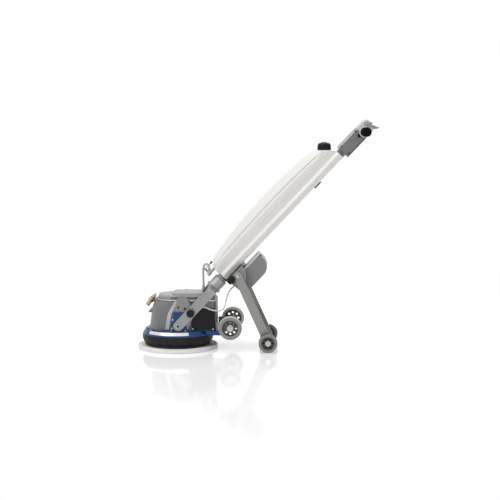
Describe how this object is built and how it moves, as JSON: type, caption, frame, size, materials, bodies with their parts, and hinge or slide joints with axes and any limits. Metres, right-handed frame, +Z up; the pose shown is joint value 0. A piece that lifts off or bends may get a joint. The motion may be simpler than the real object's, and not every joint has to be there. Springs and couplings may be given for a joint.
{
  "type": "single-disc floor machine",
  "caption": "Walk-behind single-disc floor scrubber with a tilting handle, white solution tank, folding castor leg, transport wheels and a geared motor turning a round pad.",
  "frame": {"origin": "centre of the pad's underside, on the floor", "axes": "+X from the pad towards the operator, +Y to the operator's right, +Z up"},
  "size_m": [1.2814, 0.464, 1.228],
  "materials": {
    "blue_enamel": "gloss",
    "blue_steel": "gloss",
    "black_rubber": "matte",
    "casing_grey": "satin",
    "cover_grey": "satin",
    "black_plastic": "satin",
    "dark_plastic": "matte",
    "plate_grey": "satin",
    "steel": "satin",
    "iron": "matte",
    "gear_steel": "satin",
    "alloy": "satin",
    "bracket_grey": "satin",
    "brass": "satin",
    "cable_grey": "satin",
    "hose_grey": "satin",
    "pad_fibre": "matte",
    "arm_alloy": "satin",
    "tank_white": "satin",
    "fitting_pale": "satin",
    "box_grey": "satin",
    "lid_pale": "satin",
    "head_grey": "satin",
    "head_pale": "satin",
    "leg_alloy": "satin",
    "tyre_grey": "matte",
    "tyre_pale": "satin",
    "chrome": "polished"
  },
  "bodies": {
    "chassis": {"base_plate": "blue_enamel", "skirt": "black_rubber", "motor_casing": "casing_grey", "vent_band": "black_plastic", "motor_cover": "cover_grey", "side_panels": "black_plastic", "tilt_brackets": "blue_steel", "index_plates": "plate_grey", "pivot_bolts": "steel", "stator": "iron", "ring_gear": "gear_steel", "bearing_plate": "alloy", "bearings": "gear_steel", "transport_axle": "steel", "axle_brackets": "bracket_grey", "valve_body": "brass", "motor_cable": "cable_grey", "solution_hose": "hose_grey"},
    "drive": {"pad": "pad_fibre", "pad_driver": "black_plastic", "drive_hub": "alloy", "planet_carrier": "gear_steel"},
    "rotor": {"rotor_shaft": "gear_steel", "rotor_core": "iron", "cooling_fan": "black_plastic"},
    "planet_1": {"planet_gear_1": "gear_steel"},
    "planet_2": {"planet_gear_2": "gear_steel"},
    "planet_3": {"planet_gear_3": "gear_steel"},
    "handle": {"arms": "arm_alloy", "yoke": "arm_alloy", "clamp_collar": "dark_plastic", "column": "steel", "tank": "tank_white", "outlet_tap": "fitting_pale", "leg_bracket": "bracket_grey", "capacitor_box": "box_grey", "box_lid": "lid_pale", "head_shell": "head_grey", "head_cap": "head_pale", "handlebar": "steel", "grips": "black_rubber", "cord_gland": "black_plastic"},
    "leg": {"leg_frame": "leg_alloy", "leg_axle": "steel"},
    "leg_wheel_left": {"leg_wheel_left": "tyre_grey"},
    "leg_wheel_right": {"leg_wheel_right": "tyre_grey"},
    "transport_wheel_left": {"transport_tyre_left": "tyre_pale", "transport_hub_left": "chrome"},
    "transport_wheel_right": {"transport_tyre_right": "tyre_pale", "transport_hub_right": "chrome"},
    "arm_knob_left": {"arm_knob_left": "black_plastic"},
    "arm_knob_right": {"arm_knob_right": "black_plastic"},
    "leg_knob_left": {"leg_knob_left": "black_plastic"},
    "leg_knob_right": {"leg_knob_right": "black_plastic"},
    "filler_cap": {"filler_cap": "black_plastic"},
    "tap_lever": {"tap_lever": "black_plastic"},
    "valve_lever": {"valve_lever": "dark_plastic"},
    "grip_lever_left": {"lever_left": "steel"},
    "grip_lever_right": {"lever_right": "steel"},
    "safety_button": {"safety_button": "black_plastic"}
  },
  "joints": [
    {"name": "drive_spin", "type": "hinge", "parent": "chassis", "child": "drive", "pos_m": [0, 0, 0.08], "axis": [0, 0, 1], "continuous": true},
    {"name": "rotor_spin", "type": "hinge", "parent": "chassis", "child": "rotor", "pos_m": [0, 0, 0.2], "axis": [0, 0, 1], "continuous": true},
    {"name": "planet_1_spin", "type": "hinge", "parent": "drive", "child": "planet_1", "pos_m": [0.0405, 0, 0.129], "axis": [0, 0, 1], "continuous": true},
    {"name": "planet_2_spin", "type": "hinge", "parent": "drive", "child": "planet_2", "pos_m": [-0.02025, 0.03507, 0.129], "axis": [0, 0, 1], "continuous": true},
    {"name": "planet_3_spin", "type": "hinge", "parent": "drive", "child": "planet_3", "pos_m": [-0.02025, -0.03507, 0.129], "axis": [0, 0, 1], "continuous": true},
    {"name": "handle_tilt", "type": "hinge", "parent": "chassis", "child": "handle", "pos_m": [0.015, 0, 0.14], "axis": [0, -1, 0], "range_deg": [-20, 44], "deforming": ["solution_hose", "motor_cable"]},
    {"name": "leg_fold", "type": "hinge", "parent": "handle", "child": "leg", "pos_m": [0.33069, 0, 0.40645], "axis": [0, -1, 0], "range_deg": [0, 100]},
    {"name": "leg_wheel_left_spin", "type": "hinge", "parent": "leg", "child": "leg_wheel_left", "pos_m": [0.493, -0.16, 0.05], "axis": [0, 1, 0], "continuous": true},
    {"name": "leg_wheel_right_spin", "type": "hinge", "parent": "leg", "child": "leg_wheel_right", "pos_m": [0.493, 0.16, 0.05], "axis": [0, 1, 0], "continuous": true},
    {"name": "transport_wheel_left_spin", "type": "hinge", "parent": "chassis", "child": "transport_wheel_left", "pos_m": [0.293, -0.178, 0.134], "axis": [0, 1, 0], "continuous": true},
    {"name": "transport_wheel_right_spin", "type": "hinge", "parent": "chassis", "child": "transport_wheel_right", "pos_m": [0.293, 0.178, 0.134], "axis": [0, 1, 0], "continuous": true},
    {"name": "arm_lock_left", "type": "slide", "parent": "handle", "child": "arm_knob_left", "axis": [0, 1, 0], "range_m": [0, 0.008]},
    {"name": "arm_lock_right", "type": "slide", "parent": "handle", "child": "arm_knob_right", "axis": [0, -1, 0], "range_m": [0, 0.008]},
    {"name": "leg_lock_left", "type": "slide", "parent": "leg", "child": "leg_knob_left", "axis": [0, 1, 0], "range_m": [0, 0.006]},
    {"name": "leg_lock_right", "type": "slide", "parent": "leg", "child": "leg_knob_right", "axis": [0, -1, 0], "range_m": [0, 0.006]},
    {"name": "filler_cap_lift", "type": "slide", "parent": "handle", "child": "filler_cap", "axis": [0, 0, 1], "range_m": [0, 0.08]},
    {"name": "tap_turn", "type": "hinge", "parent": "handle", "child": "tap_lever", "pos_m": [0.14919, 0.018, 0.42599], "axis": [0.7266, 0, -0.6871], "range_deg": [0, 90]},
    {"name": "valve_turn", "type": "hinge", "parent": "chassis", "child": "valve_lever", "pos_m": [-0.12333, 0, 0.28548], "axis": [0.6225, 0, 0.7826], "range_deg": [0, 90]},
    {"name": "grip_lever_left_squeeze", "type": "hinge", "parent": "handle", "child": "grip_lever_left", "pos_m": [1.00935, -0.052, 1.21187], "axis": [0, 1, 0], "range_deg": [0, 28], "stiffness_Nm_per_rad": 2, "springref_deg": -14.32},
    {"name": "grip_lever_right_squeeze", "type": "hinge", "parent": "handle", "child": "grip_lever_right", "pos_m": [1.00935, 0.052, 1.21187], "axis": [0, 1, 0], "range_deg": [0, 28], "stiffness_Nm_per_rad": 2, "springref_deg": -14.32},
    {"name": "safety_button_press", "type": "slide", "parent": "handle", "child": "safety_button", "axis": [-0.6871, 0, -0.7266], "range_m": [0, 0.005], "stiffness_N_per_m": 600, "springref_m": -0.003}
  ],
  "couplings": [
    {"joint": "rotor_spin", "follows": "drive_spin", "ratio": 6},
    {"joint": "planet_1_spin", "follows": "drive_spin", "ratio": -2.5},
    {"joint": "planet_2_spin", "follows": "drive_spin", "ratio": -2.5},
    {"joint": "planet_3_spin", "follows": "drive_spin", "ratio": -2.5}
  ]
}
